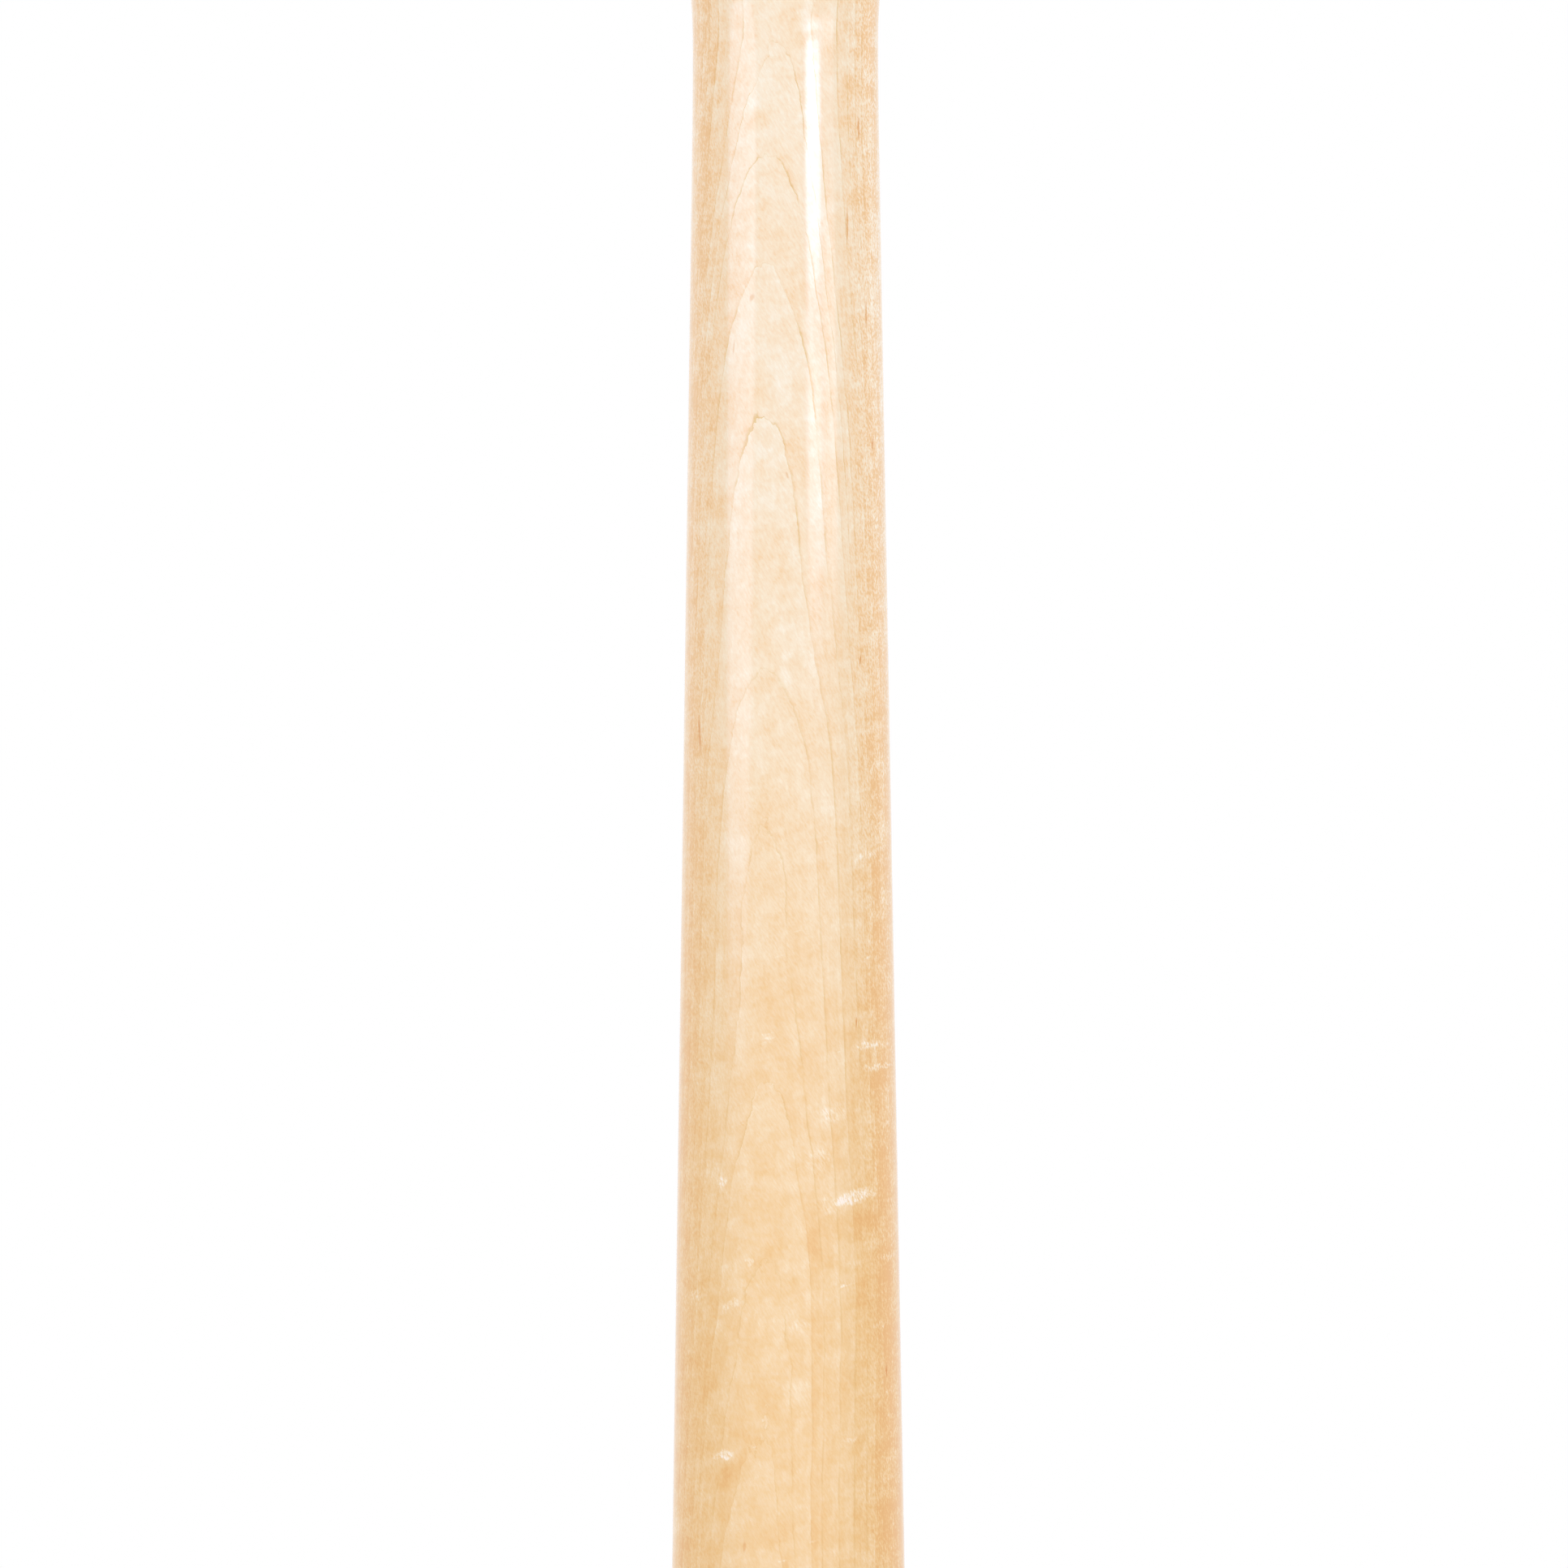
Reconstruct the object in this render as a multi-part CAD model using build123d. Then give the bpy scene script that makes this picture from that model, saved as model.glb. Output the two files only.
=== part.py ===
from build123d import *
import os
from math import atan2, degrees, hypot, sqrt

# A one-piece baseball bat, turned from a maple billet and finished in clear lacquer. It stands on
# the rim of its cupped barrel end: Z = 0 is the plane of that rim, and +Z runs along the bat's axis
# to the knob. Every size is that of the finished bat, over the lacquer, in millimetres.

# Whole bat
BAT_LENGTH = 838.2              # 33 in, from the rim to the crown of the knob

# Barrel
BARREL_DIAMETER = 63.5          # 2 1/2 in, at the widest
BARREL_WIDEST_HEIGHT = 98.0     # the widest section, above the rim
BARREL_FOOT_DIAMETER = 61.2     # where the rounding of the barrel end begins
END_ROUNDING = 8.5              # radius turned round the barrel end
RIM_SANDING = 0.5               # what is sanded off the rounded end to make the rim flat

# Cup in the barrel end, a shallow ball-shaped hollow
CUP_MOUTH_DIAMETER = 42.0
CUP_DEPTH = 20.0

# Taper between barrel and handle: how far each end keeps its own direction
BARREL_CARRY = 200.0
HANDLE_CARRY = 230.0

# Handle, a long slender cone. Its places are measured from the crown of the knob
HANDLE_FOOT_DIAMETER = 30.8
HANDLE_FOOT_FROM_CROWN = 246.0
HANDLE_TOP_DIAMETER = 24.9
HANDLE_TOP_FROM_CROWN = 61.5
NECK_DIAMETER = 24.6            # the thinnest section, just below the knob
NECK_FROM_CROWN = 45.5
NECK_CARRY = 5.0                # softness of the bend from the cone to the neck

# Knob
KNOB_DIAMETER = 50.0
KNOB_ROLL_RADIUS = 9.0          # the rounded edge
KNOB_CROWN_RADIUS = 70.0        # the slightly domed end
FLARE_ANGLE = 45.0              # slope at which the flare runs into the rounded edge
FLARE_NECK_CARRY = 12.0
FLARE_KNOB_CARRY = 11.0

# Clear lacquer, one dipped coat
LACQUER_THICKNESS = 0.15


def blend(start, leaving, carry_out, end, arriving, carry_in):
    """A smooth curve that leaves start and reaches end in given directions."""
    out_point = start + leaving.normalized() * carry_out
    in_point = end - arriving.normalized() * carry_in
    return Bezier(start, out_point, in_point, end)


def turned_section(inset):
    """Half of the bat's section, with its surface lying inset inside the finished one."""

    def surface(diameter, height):
        return Vector(diameter / 2 - inset, height)

    up = Vector(0, 1)

    # Barrel end and barrel
    rounding_height = END_ROUNDING - RIM_SANDING
    rounding_centre = Vector(BARREL_FOOT_DIAMETER / 2 - END_ROUNDING, rounding_height)
    lowest = rounding_centre - up * (END_ROUNDING - inset)
    foot = surface(BARREL_FOOT_DIAMETER, rounding_height)
    widest = surface(BARREL_DIAMETER, BARREL_WIDEST_HEIGHT)
    barrel_bow = (widest - foot).length / 3

    # Handle
    handle_foot = surface(HANDLE_FOOT_DIAMETER, BAT_LENGTH - HANDLE_FOOT_FROM_CROWN)
    handle_top = surface(HANDLE_TOP_DIAMETER, BAT_LENGTH - HANDLE_TOP_FROM_CROWN)
    along_handle = handle_top - handle_foot
    neck = surface(NECK_DIAMETER, BAT_LENGTH - NECK_FROM_CROWN)

    # Knob: the edge is an arc that meets the domed crown with no corner
    roll_x = KNOB_DIAMETER / 2 - KNOB_ROLL_RADIUS
    crown_centre = Vector(0, BAT_LENGTH - KNOB_CROWN_RADIUS)
    roll_rise = sqrt((KNOB_CROWN_RADIUS - KNOB_ROLL_RADIUS) ** 2 - roll_x**2)
    roll_centre = crown_centre + Vector(roll_x, roll_rise)
    crown_angle = degrees(atan2(roll_rise, roll_x))
    flare_direction = up.rotate(Axis.Z, -FLARE_ANGLE)
    roll_start = roll_centre + flare_direction.rotate(Axis.Z, -90) * (KNOB_ROLL_RADIUS - inset)
    crown = crown_centre + up * (KNOB_CROWN_RADIUS - inset)

    roll = CenterArc(roll_centre, KNOB_ROLL_RADIUS - inset, -FLARE_ANGLE, FLARE_ANGLE + crown_angle)
    dome = CenterArc(crown_centre, KNOB_CROWN_RADIUS - inset, crown_angle, 90 - crown_angle)
    outline = [
        Line((0, lowest.Y), lowest),
        CenterArc(rounding_centre, END_ROUNDING - inset, -90, 90),
        blend(foot, up, barrel_bow, widest, up, barrel_bow),
        blend(widest, up, BARREL_CARRY, handle_foot, along_handle, HANDLE_CARRY),
        Line(handle_foot, handle_top),
        blend(handle_top, along_handle, NECK_CARRY, neck, up, NECK_CARRY),
        blend(neck, up, FLARE_NECK_CARRY, roll_start, flare_direction, FLARE_KNOB_CARRY),
        roll,
        dome,
        Line(crown, (0, lowest.Y)),
    ]
    below_rim = Pos(0, -END_ROUNDING) * Rectangle(2 * BARREL_DIAMETER, 2 * END_ROUNDING)
    return make_face(outline) - below_rim


def turn(section):
    """The solid that a half section sweeps about the bat's axis."""
    return revolve(Plane.XZ * section, Axis.Z)


def cup_ball(inset):
    """The ball that hollows the barrel end, with its surface lying inset inside the wood's."""
    mouth_radius = CUP_MOUTH_DIAMETER / 2
    ball_radius = (mouth_radius**2 + CUP_DEPTH**2) / (2 * CUP_DEPTH)
    return Pos(0, 0, CUP_DEPTH - ball_radius) * Sphere(ball_radius + inset)


def maple_body():
    """The wood: knob, handle, barrel and the cup cut into the barrel end."""
    return turn(turned_section(LACQUER_THICKNESS)) - cup_ball(LACQUER_THICKNESS)


def lacquer_coat():
    """The clear film over the outside, from the rim's outer edge to the crown of the knob."""
    return turn(turned_section(0) - turned_section(LACQUER_THICKNESS))


def cup_lacquer():
    """The same film inside the cup, ending flush with the rim."""
    film = cup_ball(LACQUER_THICKNESS) - cup_ball(0)
    reach = hypot(CUP_MOUTH_DIAMETER, CUP_DEPTH)
    above_rim = Pos(0, 0, reach) * Box(2 * reach, 2 * reach, 2 * reach)
    return film & above_rim


os.makedirs("parts", exist_ok=True)
for piece in (maple_body, lacquer_coat, cup_lacquer):
    export_step(piece(), f"parts/{piece.__name__}.step")
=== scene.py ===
import math

import bpy
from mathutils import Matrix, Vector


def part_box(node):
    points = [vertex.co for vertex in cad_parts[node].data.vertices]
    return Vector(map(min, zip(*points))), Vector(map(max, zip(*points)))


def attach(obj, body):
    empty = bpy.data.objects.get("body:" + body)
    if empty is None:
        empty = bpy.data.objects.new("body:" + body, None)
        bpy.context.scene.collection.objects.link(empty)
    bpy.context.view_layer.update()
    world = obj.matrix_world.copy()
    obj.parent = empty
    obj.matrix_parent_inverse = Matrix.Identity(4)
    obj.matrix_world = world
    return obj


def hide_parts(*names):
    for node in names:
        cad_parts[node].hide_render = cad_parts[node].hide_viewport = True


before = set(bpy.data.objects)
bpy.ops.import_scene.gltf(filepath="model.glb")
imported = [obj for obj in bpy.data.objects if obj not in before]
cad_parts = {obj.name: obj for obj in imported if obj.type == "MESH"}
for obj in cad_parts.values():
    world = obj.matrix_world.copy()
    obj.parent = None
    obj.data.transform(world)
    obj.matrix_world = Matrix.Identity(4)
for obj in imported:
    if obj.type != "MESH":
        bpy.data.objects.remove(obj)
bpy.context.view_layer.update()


# ---- Bat body -----------------------------------------------------------------------------------
# Knob, handle, barrel and cupped end are one length of hard maple. It is turned between centres to
# a template, hollowed at the barrel end with a ball-shaped cutter, sanded, and dipped whole in clear
# lacquer, so wood and film are one skin to the eye.

MM = 0.001
BAT_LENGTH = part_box("lacquer_coat")[1].z / MM
BARREL_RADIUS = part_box("lacquer_coat")[1].x / MM
BARREL_WIDEST_HEIGHT = 98.0
BARREL_FOOT_RADIUS = 30.6
END_ROUNDING = 8.5
RIM_SANDING = 0.5
CUP_MOUTH_RADIUS = 21.0
CUP_DEPTH = 20.0
HANDLE_FOOT_RADIUS = 15.4
HANDLE_FOOT_FROM_CROWN = 246.0
HANDLE_TOP_RADIUS = 12.45
HANDLE_TOP_FROM_CROWN = 61.5
NECK_RADIUS = 12.3
NECK_FROM_CROWN = 45.5
KNOB_RADIUS = 25.0
KNOB_ROLL = 9.0
KNOB_DOME = 70.0
FLARE_SLOPE = 45.0
EDGE_BREAK = 0.4                # sandpaper takes the sharpness off both edges of the rim
TURNING_STEPS = 192

UP, OUTWARD, INWARD = 90.0, 0.0, 180.0


def arc_reach(radius, sweep):
    """Length of the handle with which one curve span follows an arc."""
    return 4 / 3 * math.tan(math.radians(sweep) / 4) * radius


def off(centre, radius, angle):
    """The point at an angle on a circle, in the half section."""
    turn = math.radians(angle)
    return centre[0] + radius * math.cos(turn), centre[1] + radius * math.sin(turn)


# Ball-shaped hollow, from its deepest point down to its mouth.
ball_radius = (CUP_MOUTH_RADIUS**2 + CUP_DEPTH**2) / (2 * CUP_DEPTH)
mouth_angle = math.degrees(math.asin((ball_radius - CUP_DEPTH) / ball_radius))
cup_reach = arc_reach(ball_radius, 90 - mouth_angle)

# Rounded barrel end, cut off by the sanded rim.
rounding_centre = (BARREL_FOOT_RADIUS - END_ROUNDING, END_ROUNDING - RIM_SANDING)
rim_angle = -math.degrees(math.asin(rounding_centre[1] / END_ROUNDING))
rounding_reach = arc_reach(END_ROUNDING, -rim_angle)
bow_reach = (BARREL_WIDEST_HEIGHT - rounding_centre[1]) / 3

# Handle, a long slender cone.
handle_foot = (HANDLE_FOOT_RADIUS, BAT_LENGTH - HANDLE_FOOT_FROM_CROWN)
handle_top = (HANDLE_TOP_RADIUS, BAT_LENGTH - HANDLE_TOP_FROM_CROWN)
lean = math.atan2(handle_foot[0] - handle_top[0], handle_top[1] - handle_foot[1])
handle_heading = UP + math.degrees(lean)

# Knob: a rounded edge that runs into a slightly domed crown.
roll_x = KNOB_RADIUS - KNOB_ROLL
dome_centre = (0.0, BAT_LENGTH - KNOB_DOME)
roll_rise = math.sqrt((KNOB_DOME - KNOB_ROLL) ** 2 - roll_x**2)
roll_centre = (roll_x, dome_centre[1] + roll_rise)
dome_angle = math.degrees(math.atan2(roll_rise, roll_x))
roll_reach = arc_reach(KNOB_ROLL, FLARE_SLOPE + dome_angle)
dome_reach = arc_reach(KNOB_DOME, 90 - dome_angle)

# Each knot: place, then heading and reach on arriving, then heading and reach on leaving.
knots = (
    ((0.0, CUP_DEPTH), OUTWARD, 1.0, OUTWARD, cup_reach),
    ((CUP_MOUTH_RADIUS, 0.0), mouth_angle - UP, cup_reach, OUTWARD, 1.0),
    (off(rounding_centre, END_ROUNDING, rim_angle), OUTWARD, 1.0, UP + rim_angle, rounding_reach),
    ((BARREL_FOOT_RADIUS, rounding_centre[1]), UP, rounding_reach, UP, bow_reach),
    ((BARREL_RADIUS, BARREL_WIDEST_HEIGHT), UP, bow_reach, UP, 200.0),
    (handle_foot, handle_heading, 230.0, handle_heading, 60.0),
    (handle_top, handle_heading, 60.0, handle_heading, 5.0),
    ((NECK_RADIUS, BAT_LENGTH - NECK_FROM_CROWN), UP, 5.0, UP, 12.0),
    (off(roll_centre, KNOB_ROLL, -FLARE_SLOPE), FLARE_SLOPE, 11.0, FLARE_SLOPE, roll_reach),
    (off(roll_centre, KNOB_ROLL, dome_angle), UP + dome_angle, roll_reach, UP + dome_angle, dome_reach),
    ((0.0, BAT_LENGTH), INWARD, dome_reach, INWARD, 1.0),
)

bpy.ops.object.select_all(action="DESELECT")
bpy.ops.curve.primitive_bezier_curve_add(location=(0, 0, 0))
bat = bpy.context.object
bat.name = "turned_bat"
bat.data.resolution_u = 22
outline = bat.data.splines[0].bezier_points
outline.add(len(knots) - len(outline))
for point, (place, arriving, reach_in, leaving, reach_out) in zip(outline, knots):
    behind = off(place, -reach_in, arriving)
    ahead = off(place, reach_out, leaving)
    point.handle_left_type = point.handle_right_type = "FREE"
    point.co = (place[0] * MM, 0, place[1] * MM)
    point.handle_left = (behind[0] * MM, 0, behind[1] * MM)
    point.handle_right = (ahead[0] * MM, 0, ahead[1] * MM)

bpy.ops.object.convert(target="MESH")
bpy.ops.object.mode_set(mode="EDIT")
bpy.ops.mesh.select_all(action="SELECT")
bpy.ops.mesh.spin(steps=TURNING_STEPS, angle=math.tau, center=(0, 0, 0), axis=(0, 0, 1))
bpy.ops.mesh.select_all(action="SELECT")
bpy.ops.mesh.remove_doubles(threshold=0.002 * MM)
bpy.ops.mesh.normals_make_consistent(inside=False)
bpy.ops.mesh.select_all(action="DESELECT")
bpy.ops.object.mode_set(mode="OBJECT")

# Both edges of the rim are broken with sandpaper.
rim_radii = (CUP_MOUTH_RADIUS * MM, knots[2][0][0] * MM)
near = 0.02 * MM
for edge in bat.data.edges:
    ends = [bat.data.vertices[i].co for i in edge.vertices]
    at_bottom = all(abs(end.z) < near / 2 for end in ends)
    on_edge = all(min(abs(end.xy.length - radius) for radius in rim_radii) < near for end in ends)
    runs_round = abs(ends[0].xy.length - ends[1].xy.length) < near
    edge.select = at_bottom and on_edge and runs_round
bpy.ops.object.mode_set(mode="EDIT")
bpy.ops.mesh.select_mode(type="EDGE")
bpy.ops.mesh.bevel(offset=EDGE_BREAK * MM, segments=3, affect="EDGES")
bpy.ops.object.mode_set(mode="OBJECT")
bpy.ops.object.shade_smooth()


def linear(colour):
    """An sRGB hex colour as linear light, with full opacity."""
    parts = [int(colour[i : i + 2], 16) / 255 for i in (1, 3, 5)]
    return [p / 12.92 if p < 0.04045 else ((p + 0.055) / 1.055) ** 2.4 for p in parts] + [1.0]


def add(tree, kind, inputs=None, knots=(), stops=(), **settings):
    """Adds a shader node with its settings and links. An input is a value, the output that feeds it, or
    a node whose first output does. Knots are a curve's points, and stops are a ramp's colours."""
    node = tree.nodes.new("ShaderNode" + kind)
    for name, value in settings.items():
        setattr(node, name, value)
    for name, value in (inputs or {}).items():
        if isinstance(value, bpy.types.Node):
            value = value.outputs[0]
        if isinstance(value, bpy.types.NodeSocket):
            tree.links.new(value, node.inputs[name])
        else:
            node.inputs[name].default_value = value
    if knots:
        points = node.mapping.curves[0].points
        while len(points) < len(knots):
            points.new(0.5, 0.5)
        for point, knot in zip(points, knots):
            point.location = knot
        node.mapping.update()
    if stops:
        elements = node.color_ramp.elements
        while len(elements) < len(stops):
            elements.new(0.5)
        for element, (position, colour) in zip(elements, stops):
            element.position = position
            element.color = linear(colour)
    return node


# Hard maple, flat-sawn face to the front, turned, sanded and lacquered. Its growth layers are nearly
# flat sheets that run out of the handle at a slight slope, so they show as tall arches in front and
# behind and as straight lines at the sides. Between them lie fibres, ray flecks and curled figure.
maple = bpy.data.materials.new("hard_maple_lacquered")
maple.use_nodes = True
wood = maple.node_tree
wood.nodes.clear()

on_bat = add(wood, "TexCoord")
in_mm = add(wood, "Mapping", {"Vector": on_bat.outputs["Object"], "Scale": (1 / MM,) * 3})
across, back, up = add(wood, "SeparateXYZ", {0: in_mm}).outputs
down_bat = add(wood, "Math", {0: up, 1: -1 / BAT_LENGTH, 2: 1.0}, operation="MULTIPLY_ADD")


def shifted(place, size, reach):
    """A place that wanders to and fro by up to half of reach, over a size, both in mm."""
    spot = add(wood, "Mapping", {"Vector": in_mm, "Scale": size}, vector_type="TEXTURE")
    drift = add(wood, "TexNoise", {"Vector": spot, "Scale": 1.0, "Detail": 2.0}).outputs["Color"]
    drift = add(wood, "VectorMath", {0: drift, 1: (0.5, 0.5, 0.5)}, operation="SUBTRACT")
    return add(wood, "VectorMath", {0: drift, 1: reach, 2: place}, operation="MULTIPLY_ADD")


# The layers wander: by a millimetre over a few centimetres, and by a hair over a millimetre or two.
wander = shifted(in_mm, (11, 11, 33), (0.8, 0.8, 0.0))
wander = shifted(wander, (2, 2, 3), (0.2, 0.2, 0.0))
wander = shifted(wander, (0.6, 0.6, 0.9), (0.08, 0.08, 0.0))

# The grain spirals slowly, so the arches drift sideways down the handle. Degrees by distance from
# the crown in mm.
SPIRAL_MOST = 30.0
spiral_knots = (
    (0, 3), (40, 6), (60, 10), (95, 13), (195, 12),
    (225, 16), (250, 20), (300, 22), (500, 17), (838, 24),
)
spiral = add(
    wood,
    "FloatCurve",
    {"Value": down_bat},
    knots=[(mm / BAT_LENGTH, degrees / SPIRAL_MOST) for mm, degrees in spiral_knots],
)
spiral = add(wood, "Math", {0: spiral, 1: math.radians(SPIRAL_MOST)}, operation="MULTIPLY")
turned = add(wood, "VectorRotate", {"Vector": wander, "Angle": spiral}, rotation_type="Z_AXIS")
along_face, _, up_grain = add(wood, "SeparateXYZ", {0: turned}).outputs

# Depth into the tree, from its pith outwards: the back of the bat is the older wood.
PITH_DEPTH = 90.0
from_pith = add(
    wood,
    "VectorMath",
    {0: turned, 1: (1.0, -1.0, 0.0), 2: (0.0, PITH_DEPTH, 0.0)},
    operation="MULTIPLY_ADD",
)
depth = add(wood, "VectorMath", {0: from_pith}, operation="LENGTH").outputs["Value"]

# Run-out: how far the layers have sloped through the bat at each distance from the crown, in mm.
RUN_OUT_MOST = 16.0
run_out_knots = (
    (0, 0.6), (40, 1.9), (60, 2.65), (77, 3.85), (95, 5.0), (126, 5.9), (148, 6.8),
    (184, 7.1), (205, 7.6), (244, 8.0), (300, 8.7), (560, 11.7), (838, 15.4),
)
run_out = add(
    wood,
    "FloatCurve",
    {"Value": down_bat},
    knots=[(mm / BAT_LENGTH, slid / RUN_OUT_MOST) for mm, slid in run_out_knots],
)
depth = add(wood, "Math", {0: run_out, 1: RUN_OUT_MOST, 2: depth}, operation="MULTIPLY_ADD")
BARK_SIDE = PITH_DEPTH + NECK_RADIUS + 2.0
layer_depth = add(wood, "Math", {0: depth, 1: BARK_SIDE}, operation="SUBTRACT")

# Growth layers are about a millimetre thick, thinner in a bad year and thicker in a good one. There
# are 64 of them between the pith and the bark side of the neck. Each knot is a depth in mm from that
# side and by how many layers the count is behind there.
LAYER_THICKNESS = 1.07
LAYERS_TO_BARK_SIDE = 64.3
BEHIND_MOST = 1.5
DEEPEST, SHALLOWEST = -4.6, 11.4
behind_knots = (
    (-4.6, 0), (-2.5, 0), (-0.75, 0.6), (0.7, 0), (2.15, 0.3), (5.1, 1.06),
    (6.35, 1.3), (7.1, 0.93), (8, 0.8), (9.25, 0), (11.4, 0),
)
depth_share = add(
    wood, "MapRange", {"Value": layer_depth, "From Min": DEEPEST, "From Max": SHALLOWEST}
)
behind = add(
    wood,
    "FloatCurve",
    {"Value": depth_share},
    knots=[
        ((mm - DEEPEST) / (SHALLOWEST - DEEPEST), count / BEHIND_MOST) for mm, count in behind_knots
    ],
)
layers = add(
    wood,
    "Math",
    {0: layer_depth, 1: 1 / LAYER_THICKNESS, 2: LAYERS_TO_BARK_SIDE},
    operation="MULTIPLY_ADD",
)
layers = add(wood, "Math", {0: behind, 1: -BEHIND_MOST, 2: layers}, operation="MULTIPLY_ADD")
within = add(wood, "Math", {0: layers}, operation="FRACT")
which = add(wood, "Math", {0: layers}, operation="FLOOR")

# How the surface cuts the layers: 1 where it lies flat on them, in front and behind, 0 at both sides.
normal = on_bat.outputs["Normal"]
squareness = add(wood, "SeparateXYZ", {0: normal}).outputs["Y"]
squareness = add(wood, "Math", {0: squareness}, operation="ABSOLUTE")

# The pattern of the sides comes in between the two, and shows more at the right than at the left.
side_share = add(wood, "MapRange", {"Value": squareness, "From Min": 0.84, "From Max": 0.45})
crossing = add(
    wood,
    "MapRange",
    {"Value": across, "From Min": -10.0, "From Max": 10.0, "To Min": 0.5, "To Max": 1.1},
    interpolation_type="SMOOTHSTEP",
)
side_share = add(wood, "Math", {0: side_share, 1: crossing}, operation="MULTIPLY")

# The patterns of the wood, each by the place it reads, its size in mm across, deep and along the grain,
# its lean in degrees, and its detail and roughness.
along_layer = add(wood, "CombineXYZ", {"X": along_face, "Y": which, "Z": up_grain})
across_layers = add(wood, "CombineXYZ", {"X": layer_depth, "Y": along_face, "Z": up_grain})
patterns = {}
for name, place, size, lean, detail, roughness in (
    # Within one layer the fibres lean now this way, now that, so pale and dark blocks follow each other
    # along it and stop at its edges. Each layer also has a shade of its own.
    ("blocks", along_layer, (10, 0.19, 6.7), 0, 4, 0.6),
    ("years", along_layer, (70, 0.23, 180), 0, 2, 0.5),
    # The tissue changes every half millimetre of depth, which makes soft clouds where a layer lies flat
    # to the surface and close upright lines at the sides.
    ("tissue", across_layers, (0.45, 3.3, 20), 0, 4, 0.7),
    # Mottle, where fibres weave round the rays: pale cells one to three millimetres across.
    ("mottle", in_mm, (1.3, 1.3, 1.7), 0, 4, 0.65),
    ("cells", in_mm, (2.8, 2.8, 3.3), 0, 5, 0.6),
    # Ray flecks are finer than this, a tenth of a millimetre, and are drawn coarse enough to show.
    ("flecks", in_mm, (0.24, 0.24, 0.9), -32, 2, 0.6),
    # Curl: the fibres ripple, so soft bands three to five millimetres apart climb across the sides.
    ("curl", in_mm, (9, 9, 2.0), -9, 3, 0.6),
    # Flames lie scattered where the fibres dip to the surface, and lines come and go on their way.
    ("scattered", in_mm, (5, 5, 1.4), -14, 3, 0.55),
    ("fading", in_mm, (2.2, 2.2, 5.6), 0, 4, 0.5),
    # A dipped film is never quite flat: it swells and sinks by a few microns over a few millimetres.
    ("swell", in_mm, (5, 5, 8.3), 0, 2, 0.5),
):
    spot = add(
        wood,
        "Mapping",
        {"Vector": place, "Rotation": (0.0, math.radians(lean), 0.0), "Scale": size},
        vector_type="TEXTURE",
    )
    patterns[name] = add(
        wood,
        "TexNoise",
        {"Vector": spot, "Scale": 1.0, "Detail": detail, "Roughness": roughness},
    )

# The wood is creamy near the knob and turns golden down the handle, by distance from the crown in mm.
# The paler top is partly the wood's own colour and partly painted light, as if the lamps above lit it
# more strongly and veiled it with their reflection.
CREAMY_AND_LIT_TO, GOLDEN_FROM = 75, 225
creamy_and_top_lit = add(
    wood,
    "MapRange",
    {"Value": down_bat, "From Min": GOLDEN_FROM / BAT_LENGTH, "From Max": CREAMY_AND_LIT_TO / BAT_LENGTH},
    interpolation_type="SMOOTHSTEP",
)

# Each layer ends in a thin golden line, as wide on the surface where that cuts the layer at a slant as
# where it cuts it square: a quarter of a millimetre, and twice that in the broad growth of the barrel.
# It is clearest in front and behind, near the knob and on the barrel.
LINE_WIDTH = 0.26
LEAST_SLANT = 0.06
NARROW_TO, BROAD_FROM = 260, 460
clear_knots = (
    (0, 1), (90, 1), (115, 0.6), (128, 0.35), (145, 0.5), (250, 0.45), (460, 0.95), (838, 0.95),
)
clearness = add(
    wood,
    "FloatCurve",
    {"Value": down_bat},
    knots=[(mm / BAT_LENGTH, share) for mm, share in clear_knots],
)
broad = add(
    wood,
    "MapRange",
    {
        "Value": down_bat,
        "From Min": NARROW_TO / BAT_LENGTH,
        "From Max": BROAD_FROM / BAT_LENGTH,
        "To Max": 1.3,
    },
    interpolation_type="SMOOTHSTEP",
)
broader = add(wood, "Math", {0: 1.0, 1: broad}, operation="ADD")
flat_on = add(wood, "VectorRotate", {"Vector": normal, "Angle": spiral}, rotation_type="Z_AXIS")
flat_on = add(wood, "SeparateXYZ", {0: flat_on}).outputs["Y"]
slant = add(wood, "Math", {0: flat_on, 1: flat_on}, operation="MULTIPLY")
slant = add(wood, "Math", {0: 1.0 + LEAST_SLANT**2, 1: slant}, operation="SUBTRACT")
slant = add(wood, "Math", {0: slant}, operation="SQRT")
to_end = add(wood, "Math", {0: 1.0, 1: within}, operation="SUBTRACT")
to_end = add(wood, "Math", {0: to_end, 1: slant}, operation="DIVIDE")
to_end = add(wood, "Math", {0: to_end, 1: broader}, operation="DIVIDE")
line = 1.0
for value, start, stop, low, high in (
    (to_end, LINE_WIDTH / LAYER_THICKNESS, 0.0, 0.0, 1.0),
    (patterns["fading"], 0.38, 0.6, 0.15, 0.9),
    (squareness, 0.6, 1.0, 0.35, 1.0),
):
    part = add(
        wood,
        "MapRange",
        {"Value": value, "From Min": start, "From Max": stop, "To Min": low, "To Max": high},
        interpolation_type="SMOOTHSTEP",
    )
    line = add(wood, "Math", {0: part, 1: line}, operation="MULTIPLY")
line = add(wood, "Math", {0: line, 1: clearness}, operation="MULTIPLY")

# A layer starts pale in spring and darkens towards its end.
season = add(
    wood,
    "FloatCurve",
    {"Value": within},
    knots=((0.0, 0.9), (0.06, 1.0), (0.4, 0.6), (0.75, 0.45), (1.0, 0.0)),
)

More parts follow.
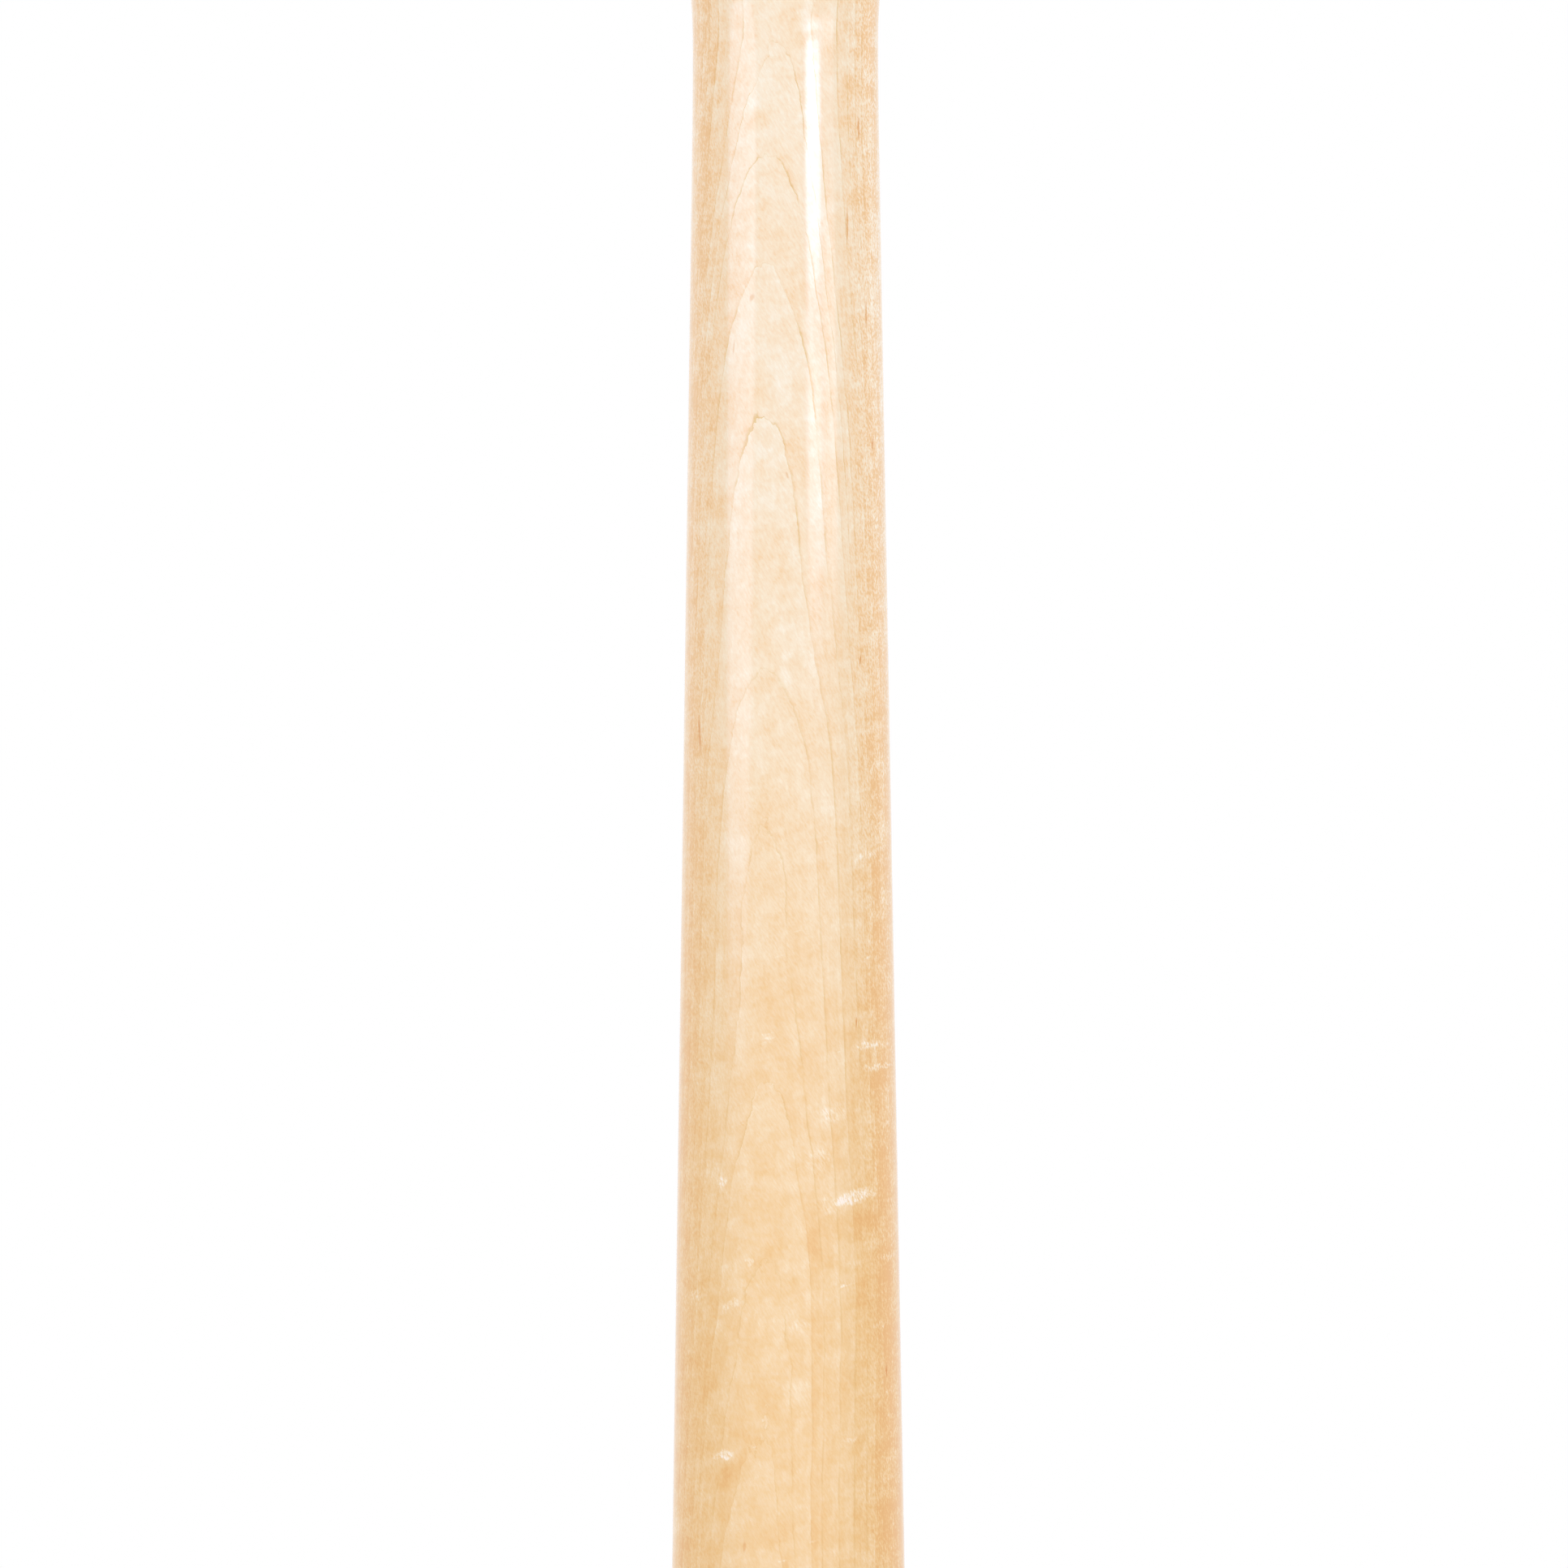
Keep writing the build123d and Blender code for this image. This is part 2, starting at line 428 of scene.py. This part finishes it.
# Flames are pale patches across the grain, with a dark one under each. Streaks are brown, from minerals
# that the tree took up. Each is given by its distance right of the middle of the flat-sawn face and
# from the crown, its half length and half height, all in mm, its tilt in degrees and its strength.
flame_list = (
    (8.8, 198, 4.2, 1.2, 17, 0.9), (11, 178, 2.6, 0.7, 8, 0.6), (12, 181, 2.4, 0.6, 8, 0.7),
    (10.5, 153, 2.3, 0.7, 20, 0.5), (-8.4, 232, 1.7, 0.9, 0, 0.9), (-8.7, 196, 1.1, 0.7, 25, 0.6),
    (-12, 211, 1.3, 0.9, 0, 0.4), (-7.3, 212, 2, 0.8, 12, 0.4), (-4.9, 206.5, 0.6, 0.8, 45, 0.6),
    (13, 206, 0.8, 0.8, 0, 0.6), (8.3, 230, 1.7, 0.5, 8, 0.4), (1.5, 215, 2, 1.2, 10, 0.3),
    (4.2, 193, 2.4, 2.6, 0, 0.35), (5.2, 199, 1.6, 2.2, 60, 0.35), (6, 187, 2.6, 1.6, 12, 0.45),
    (12.3, 215, 1.6, 0.7, 20, 0.4), (12, 141, 2, 0.7, 15, 0.4),
)
streak_list = (
    (9.6, 57, 0.16, 2.1, 0, 0.8), (8.1, 70, 0.16, 3, 0, 0.8), (10.6, 81.5, 0.16, 2.5, 0, 0.7),
    (11.4, 98.7, 0.17, 1.1, -3, 0.8), (9.7, 127.3, 0.16, 1, -5, 0.8), (-11.5, 137, 0.16, 3.1, 2, 0.8),
    (9.1, 175, 0.16, 0.9, -4, 0.9), (13, 221, 0.16, 1.2, 0, 0.8), (-4.5, 79.5, 0.4, 0.7, -25, 0.5),
    (-6.9, 86, 0.14, 1.4, -6, 0.4), (0.1, 103, 0.25, 0.6, 20, 0.4), (-5.8, 244, 0.3, 0.9, 0, 0.5),
)


THROUGH_BAT = 1000.0


def marks(mark_list, ragged, drop=0.0, height=1.0):
    """How strongly the marks of a list show in front, with edges ragged by so much, each lowered by a
    number of its half heights and made so many times as high."""
    spot = shifted(in_mm, (0.8, 0.8, 1.1), ragged)
    total = 0.0
    for right, from_crown, half_length, half_height, tilt, strength in mark_list:
        here = add(
            wood,
            "Mapping",
            {
                "Vector": spot,
                "Location": (right, 0.0, BAT_LENGTH - from_crown - drop * half_height),
                "Rotation": (0.0, math.radians(-tilt), 0.0),
                "Scale": (half_length, THROUGH_BAT, half_height * height),
            },
            vector_type="TEXTURE",
        )
        reached = add(wood, "VectorMath", {0: here}, operation="LENGTH").outputs["Value"]
        mark = add(
            wood,
            "MapRange",
            {"Value": reached, "From Min": 1.0, "From Max": 0.3, "To Max": strength},
            interpolation_type="SMOOTHSTEP",
        )
        total = add(wood, "Math", {0: mark, 1: total}, operation="MAXIMUM")
    in_front = add(wood, "Math", {0: back, 1: 0.0}, operation="LESS_THAN")
    return add(wood, "Math", {0: total, 1: in_front}, operation="MULTIPLY")


flames = marks(flame_list, (1.6, 0.0, 1.3))
under_flames = marks(flame_list, (1.6, 0.0, 2.0), drop=3.2, height=2.4)
streaks = marks(streak_list, (0.25, 0.0, 0.3))

# Fewer and smaller flames lie scattered over the golden wood, and the flecks hatch them all.
scattered = add(
    wood,
    "MapRange",
    {"Value": patterns["scattered"], "From Min": 0.68, "From Max": 0.82},
    interpolation_type="SMOOTHSTEP",
)
plain = add(wood, "Math", {0: 1.0, 1: creamy_and_top_lit}, operation="SUBTRACT")
scattered = add(wood, "Math", {0: scattered, 1: plain}, operation="MULTIPLY")
flames = add(wood, "Math", {0: flames, 1: scattered}, operation="MAXIMUM")
hatch = add(wood, "Math", {0: patterns["flecks"], 1: 3.6, 2: -0.8}, operation="MULTIPLY_ADD")
flames = add(wood, "Math", {0: flames, 1: hatch}, operation="MULTIPLY")

# Everything above makes one tone, 0 dark to 1 pale. At both sides, where the layers' dark ends close
# up, the wood is darker and its pattern stronger. The darker sides are partly that grain and partly
# painted shade, of the light falling off where the surface turns side-on. Near the knob the left side
# is a little the darker, and further down the right side.
tone = add(
    wood,
    "MapRange",
    {"Value": squareness, "From Min": 0.38, "From Max": 0.94, "To Min": 0.075, "To Max": 0.33},
    interpolation_type="SMOOTHSTEP",
)
uneven = add(wood, "Math", {0: creamy_and_top_lit, 1: 0.0045, 2: -0.0025}, operation="MULTIPLY_ADD")
tone = add(wood, "Math", {0: across, 1: uneven, 2: tone}, operation="MULTIPLY_ADD")
for name, in_middle, at_side in (
    ("blocks", 0.45, 0.75), ("years", 0.3, 0.45), ("tissue", 0.4, 0.75), ("mottle", 0.4, 0.5),
    ("flecks", 0.55, 2.0), ("curl", 0.35, 0.8),
):
    part = add(wood, "Math", {0: patterns[name], 1: 0.5}, operation="SUBTRACT")
    strength = add(
        wood,
        "Math",
        {0: side_share, 1: at_side - in_middle, 2: in_middle},
        operation="MULTIPLY_ADD",
    )
    tone = add(wood, "Math", {0: part, 1: strength, 2: tone}, operation="MULTIPLY_ADD")
cells = add(
    wood,
    "MapRange",
    {"Value": patterns["cells"], "From Min": 0.46, "From Max": 0.58},
    interpolation_type="SMOOTHSTEP",
)
# Painted shade as well as grain: the sides of the golden wood are made a little darker still.
golden_side_and_shade = add(wood, "Math", {0: side_share, 1: plain}, operation="MULTIPLY")
broad_years = add(wood, "Math", {0: patterns["years"], 1: 0.5}, operation="SUBTRACT")
broad_years = add(wood, "Math", {0: broad_years, 1: broad}, operation="MULTIPLY")
for part, strength in (
    (cells, 0.1), (season, 0.13), (flames, 0.5), (under_flames, -0.2),
    (golden_side_and_shade, -0.08), (broad_years, 0.5),
):
    tone = add(wood, "Math", {0: part, 1: strength, 2: tone}, operation="MULTIPLY_ADD")

# Each row of colours runs from dark to pale. The line and the streaks stain what they cross. A Mix
# node's input 0 is its share, 6 and 7 are its two colours, and output 2 is the colour they make.
golden = ("#E5AC67", "#E9B977", "#ECC389", "#EFCC9A", "#F4DAB4", "#FAE8D6")
# The cream row, used near the knob, is partly painted light: paler, as if lit more strongly from above.
cream_and_top_light = ("#E9B97F", "#EEC99A", "#F0D5B0", "#F2DFC2", "#F5E8D2", "#F9F1E4")
LINE_STAIN, MINERAL_STAIN = "#EDDDAA", "#EBBC78"
golden_wood, creamy_and_top_lit_wood = (
    add(wood, "ValToRGB", {"Fac": tone}, stops=[(0.2 * i, colour) for i, colour in enumerate(row)])
    for row in (golden, cream_and_top_light)
)
maple_colour = add(
    wood, "Mix", {0: creamy_and_top_lit, 6: golden_wood, 7: creamy_and_top_lit_wood}, data_type="RGBA"
).outputs[2]
for part, stain in ((line, LINE_STAIN), (streaks, MINERAL_STAIN)):
    maple_colour = add(
        wood,
        "Mix",
        {0: part, 6: maple_colour, 7: linear(stain)},
        data_type="RGBA",
        blend_type="MULTIPLY",
    ).outputs[2]

# The film bends the light by its swell. It is glossy and clear, and the wood under it is dull.
film = add(wood, "Bump", {"Height": patterns["swell"], "Strength": 0.06, "Distance": 0.02 * MM})
surface = add(
    wood,
    "BsdfPrincipled",
    {
        "Base Color": maple_colour,
        "Roughness": 0.5,
        "IOR": 1.5,
        "Specular IOR Level": 0.15,
        "Coat Weight": 1.0,
        "Coat Roughness": 0.07,
        "Coat IOR": 1.52,
        "Normal": film,
        "Coat Normal": film,
    },
)
add(wood, "OutputMaterial", {"Surface": surface})

bat.data.materials.append(maple)
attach(bat, "root")
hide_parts("maple_body", "lacquer_coat", "cup_lacquer")


# ---- Studio -------------------------------------------------------------------------------------
# A white floor and a white sweep behind, a wide scrim in front, a tall strip of light at the right
# front, a softbox at the left and two fills high at the sides. None of it belongs to the bat.

bpy.ops.object.select_all(action="DESELECT")
bpy.ops.mesh.primitive_plane_add(size=16, location=(0, 0, 0))
floor = bpy.context.object
floor.name = "studio_floor"

# White paper, evenly lit: further out, where the lamps reach less, the eye still sees it white.
paper = bpy.data.materials.new("white_paper_floor")
paper.use_nodes = True
sheet = paper.node_tree
sheet.nodes.clear()
path = add(sheet, "LightPath").outputs
seen = add(sheet, "Math", {0: path["Is Camera Ray"], 1: path["Is Glossy Ray"]}, operation="MAXIMUM")
seen = add(sheet, "Math", {0: seen, 1: path["Is Transmission Ray"]}, operation="MAXIMUM")
on_floor = add(sheet, "TexCoord").outputs["Object"]
from_bat = add(sheet, "VectorMath", {0: on_floor}, operation="LENGTH").outputs["Value"]
evened = add(
    sheet,
    "MapRange",
    {"Value": from_bat, "From Min": 0.3, "From Max": 2.2, "To Min": 0.02, "To Max": 0.4},
    interpolation_type="SMOOTHSTEP",
)
evened = add(sheet, "Math", {0: seen, 1: evened}, operation="MULTIPLY")
face = add(
    sheet,
    "BsdfPrincipled",
    {
        "Base Color": linear("#F7F7F7"),
        "Roughness": 0.9,
        "Emission Color": linear("#FFFFFF"),
        "Emission Strength": evened,
    },
)
add(sheet, "OutputMaterial", {"Surface": face})
floor.data.materials.append(paper)


def lamp(name, azimuth, distance, bottom, top, width, radiance, soft, edge=(0.0, 1.0), rim="#FFFFFF",
         colour="#FFFFFF"):
    """An area light that faces the bat. Azimuth is from the camera's side towards +X. Soft is the share
    of its width or height over which it fades in from its left, right, bottom and top, and edge cuts
    that fade short, which rounds its corners. It fades from its colour to that of its rim, which is
    bluer, because the wood turns a faint white light yellow."""
    turn = math.radians(azimuth)
    data = bpy.data.lights.new(name, "AREA")
    data.shape = "RECTANGLE"
    data.size, data.size_y = width, top - bottom
    data.energy = radiance * width * (top - bottom) * math.pi
    data.use_nodes = True
    tree = data.node_tree
    tree.nodes.clear()
    on_lamp = add(tree, "NewGeometry").outputs["Parametric"]
    on_lamp = add(tree, "SeparateXYZ", {0: on_lamp}).outputs
    left, right, low, high = soft
    level = 1.0
    for axis, start, stop in (("X", 0, left), ("X", 1, 1 - right), ("Y", 0, low), ("Y", 1, 1 - high)):
        fade = add(
            tree, "MapRange", {"Value": on_lamp[axis], "From Min": start, "From Max": stop}
        )
        level = add(tree, "Math", {0: fade, 1: level}, operation="MULTIPLY")
    level = add(
        tree,
        "MapRange",
        {"Value": level, "From Min": edge[0], "From Max": edge[1]},
        interpolation_type="SMOOTHSTEP",
    )
    shade = add(tree, "Mix", {0: level, 6: linear(rim), 7: linear(colour)}, data_type="RGBA")
    glow = add(tree, "Emission", {"Color": shade.outputs[2], "Strength": level})
    add(tree, "OutputLight", {"Surface": glow})
    light = bpy.data.objects.new(name, data)
    light.location = (math.sin(turn) * distance, -math.cos(turn) * distance, (bottom + top) / 2)
    light.rotation_euler = (math.radians(90), 0, turn)
    light.visible_camera = False
    bpy.context.collection.objects.link(light)


RIM, CORE, SOFTBOX = "#9FC0FF", "#DCE6FF", "#CCDBFF"
lamp("strip_right", 34, 1.2, 0.82, 1.1, 0.56, 12, (0.3, 0.3, 0.15, 0.1), rim=RIM, colour=CORE)
lamp("strip_right_low", 34, 1.2, 0.745, 1.1, 0.56, 6, (0.3, 0.3, 0.2, 0.1), rim=RIM, colour=CORE)
lamp("strip_right_wide", 52, 1.2, 0.75, 0.87, 0.46, 2.2, (0.3, 0.12, 0.3, 0.25), rim=RIM, colour=CORE)
lamp("softbox_left", -55.5, 1.2, 0.62, 1.3, 0.98, 2.4, (0.3, 0.3, 0.45, 0.3), (0.12, 0.4), RIM, SOFTBOX)
lamp("front_scrim", 0, 0.9, 0.42, 1.05, 5.4, 0.96, (0.5, 0.5, 0.25, 0.25))
lamp("side_fill_left", -105, 1.4, 1.25, 2.8, 2.4, 2.2, (0.2, 0.2, 0.2, 0.2))
lamp("side_fill_right", 105, 1.4, 1.25, 2.8, 2.4, 1.8, (0.2, 0.2, 0.2, 0.2))

# The room is white to the camera and in reflections. It lights the bat from the sweep behind, which
# reaches a little round the left, and from the ceiling, which is brighter at the back.
world = bpy.data.worlds.new("white_studio")
world.use_nodes = True
sky = world.node_tree
sky.nodes.clear()
path = add(sky, "LightPath").outputs
facing = add(sky, "TexCoord").outputs["Generated"]
facing = add(sky, "SeparateXYZ", {0: facing}).outputs
behind_bat = add(sky, "Math", {0: facing["X"], 1: -0.2, 2: facing["Y"]}, operation="MULTIPLY_ADD")
sweep = add(
    sky,
    "MapRange",
    {"Value": behind_bat, "From Min": 0.72, "From Max": 1.0, "To Min": 0.3, "To Max": 1.0},
    interpolation_type="SMOOTHSTEP",
)
overhead = add(
    sky,
    "MapRange",
    {"Value": facing["Z"], "From Min": 0.12, "From Max": 0.45},
    interpolation_type="SMOOTHSTEP",
)
ceiling = add(sky, "Math", {0: facing["Y"], 1: 0.25, 2: 0.68}, operation="MULTIPLY_ADD")
overhead = add(sky, "Math", {0: overhead, 1: ceiling}, operation="MULTIPLY")
sweep = add(sky, "Math", {0: sweep, 1: overhead}, operation="MAXIMUM")
seen = add(sky, "Math", {0: path["Is Camera Ray"], 1: path["Is Glossy Ray"]}, operation="MAXIMUM")
seen = add(sky, "Math", {0: seen, 1: path["Is Transmission Ray"]}, operation="MAXIMUM")
brightness = add(sky, "Math", {0: seen, 1: sweep}, operation="MAXIMUM")
backdrop = add(sky, "Background", {"Color": linear("#FFFFFF"), "Strength": brightness})
add(sky, "OutputWorld", {"Surface": backdrop})
bpy.context.scene.world = world

# A long lens, level with the handle, sees it from just below the knob. It is a hair off the axis and
# a hair out of upright.
VIEW_TOP_FROM_CROWN = 39.7
VIEW_SIZE = 207.8
CAMERA_DISTANCE = 2000.0
CAMERA_LEFT = 0.38
CAMERA_ROLL = -0.11
SENSOR = 36.0

camera_data = bpy.data.cameras.new("camera")
camera_data.sensor_width = SENSOR
camera_data.lens = SENSOR * CAMERA_DISTANCE / VIEW_SIZE
camera_data.clip_start, camera_data.clip_end = 0.05, 50.0
camera = bpy.data.objects.new("camera", camera_data)
view_height = BAT_LENGTH - VIEW_TOP_FROM_CROWN - VIEW_SIZE / 2
camera.location = (-CAMERA_LEFT * MM, -CAMERA_DISTANCE * MM, view_height * MM)
camera.rotation_euler = (math.radians(90), 0, 0)
camera.rotation_euler.rotate_axis("Z", math.radians(CAMERA_ROLL))
bpy.context.collection.objects.link(camera)
bpy.context.scene.camera = camera
bpy.context.scene.view_settings.view_transform = "Standard"
